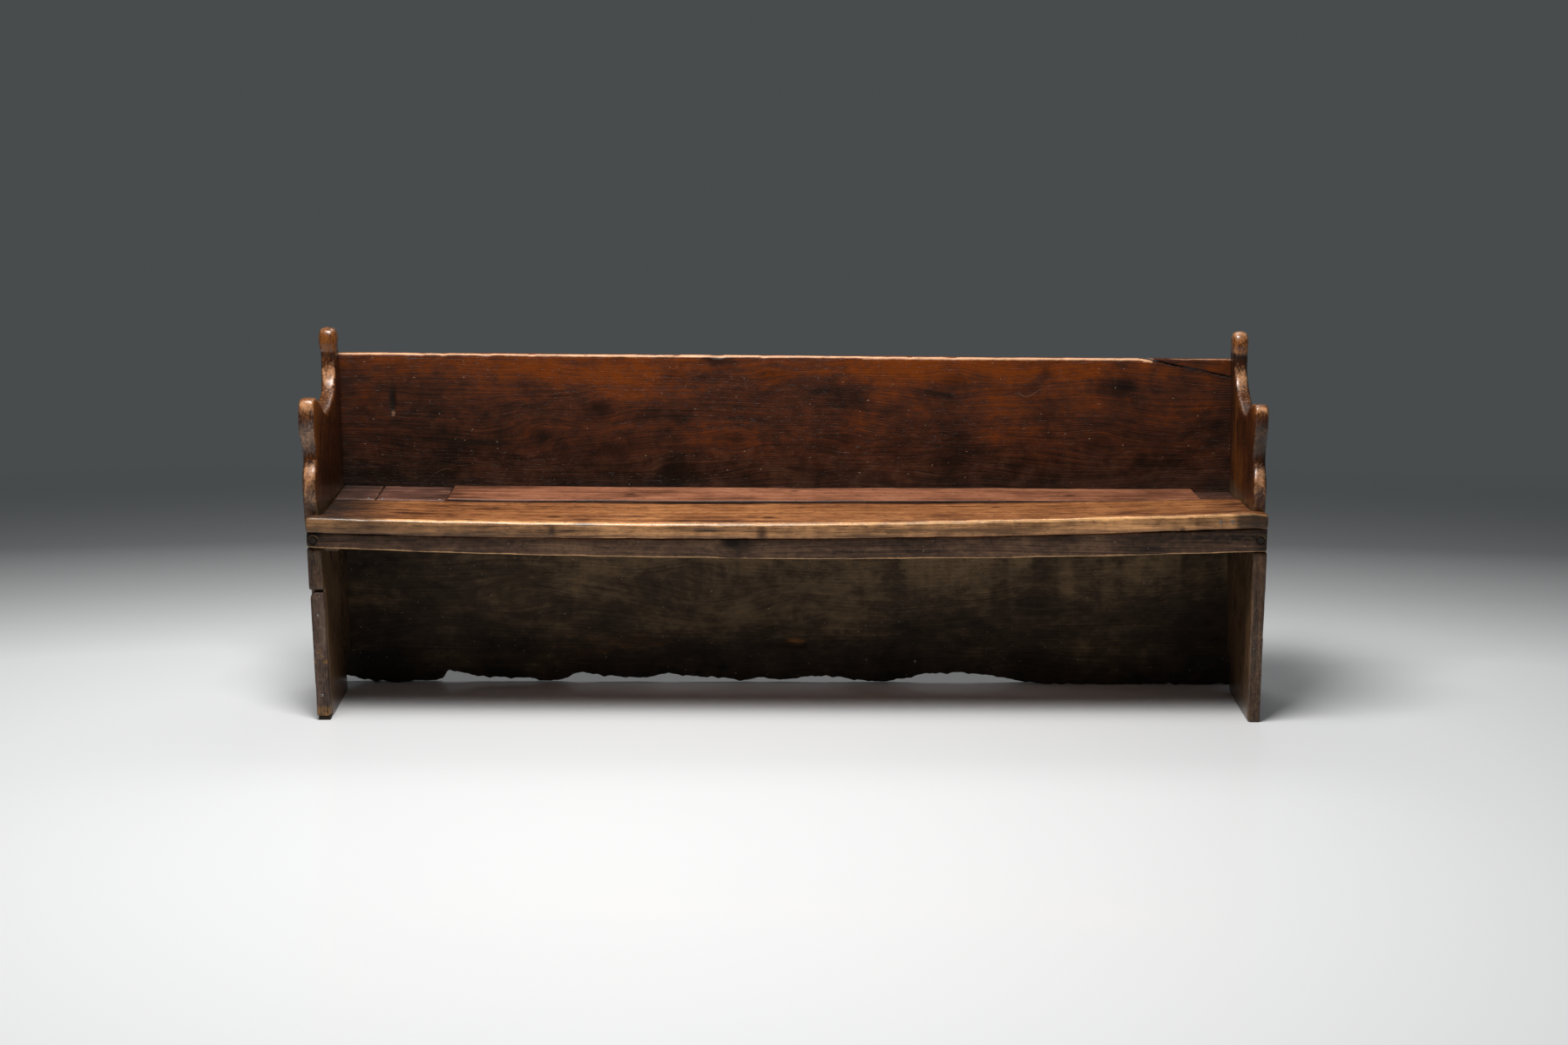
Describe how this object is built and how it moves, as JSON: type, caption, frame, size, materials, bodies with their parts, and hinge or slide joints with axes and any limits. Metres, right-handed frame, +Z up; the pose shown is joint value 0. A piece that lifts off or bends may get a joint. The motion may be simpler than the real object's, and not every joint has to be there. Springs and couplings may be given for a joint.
{
  "type": "bench",
  "caption": "Old plank bench with scroll-shaped ends, a sagging seat plank patched behind, a bowed apron and a high boarded back that runs down to the floor.",
  "frame": {"origin": "on the floor, under the middle of the bench's bounding box", "axes": "+X to the right as seen from the front, -Y towards the sitter's knees (the front), +Z up"},
  "size_m": [2.0248, 0.3802, 0.796],
  "materials": {
    "end_board_wood": "worn, waxed",
    "splice_wood": "worn, waxed",
    "shim_wood": "dull, dark",
    "upper_back_wood": "worn, waxed",
    "lower_back_wood": "dull, dirty",
    "seat_plank_wood": "worn, polished by use",
    "seat_strip_wood": "worn, waxed",
    "seat_fill_wood": "worn, dull",
    "apron_wood": "worn, dark",
    "cleat_wood": "dry, unfinished",
    "peg_wood": "worn, dark",
    "iron": "dark, forged"
  },
  "bodies": {
    "root": {"left_end_board": "end_board_wood", "right_end_board": "end_board_wood", "left_leg_splice": "splice_wood", "left_foot_shim": "shim_wood", "upper_back_board": "upper_back_wood", "back_corner_splinter": "upper_back_wood", "lower_back_board": "lower_back_wood", "seat_front_plank": "seat_plank_wood", "seat_rear_strip": "seat_strip_wood", "seat_fill_left_outer": "seat_fill_wood", "seat_fill_left_inner": "seat_fill_wood", "seat_fill_right": "seat_fill_wood", "front_apron_rail": "apron_wood", "left_seat_bearer": "cleat_wood", "right_seat_bearer": "cleat_wood", "rear_seat_ledger": "cleat_wood", "seat_batten_outer_left": "cleat_wood", "seat_batten_inner_left": "cleat_wood", "seat_batten_middle": "cleat_wood", "seat_batten_right": "cleat_wood", "apron_pegs": "peg_wood", "upper_back_nails": "iron", "lower_back_nails": "iron", "bearer_nails": "iron", "ledger_nails": "iron", "batten_nails": "iron", "seat_fill_nails": "iron", "leg_splice_nails": "iron", "seat_edge_tacks": "iron"}
  },
  "joints": []
}
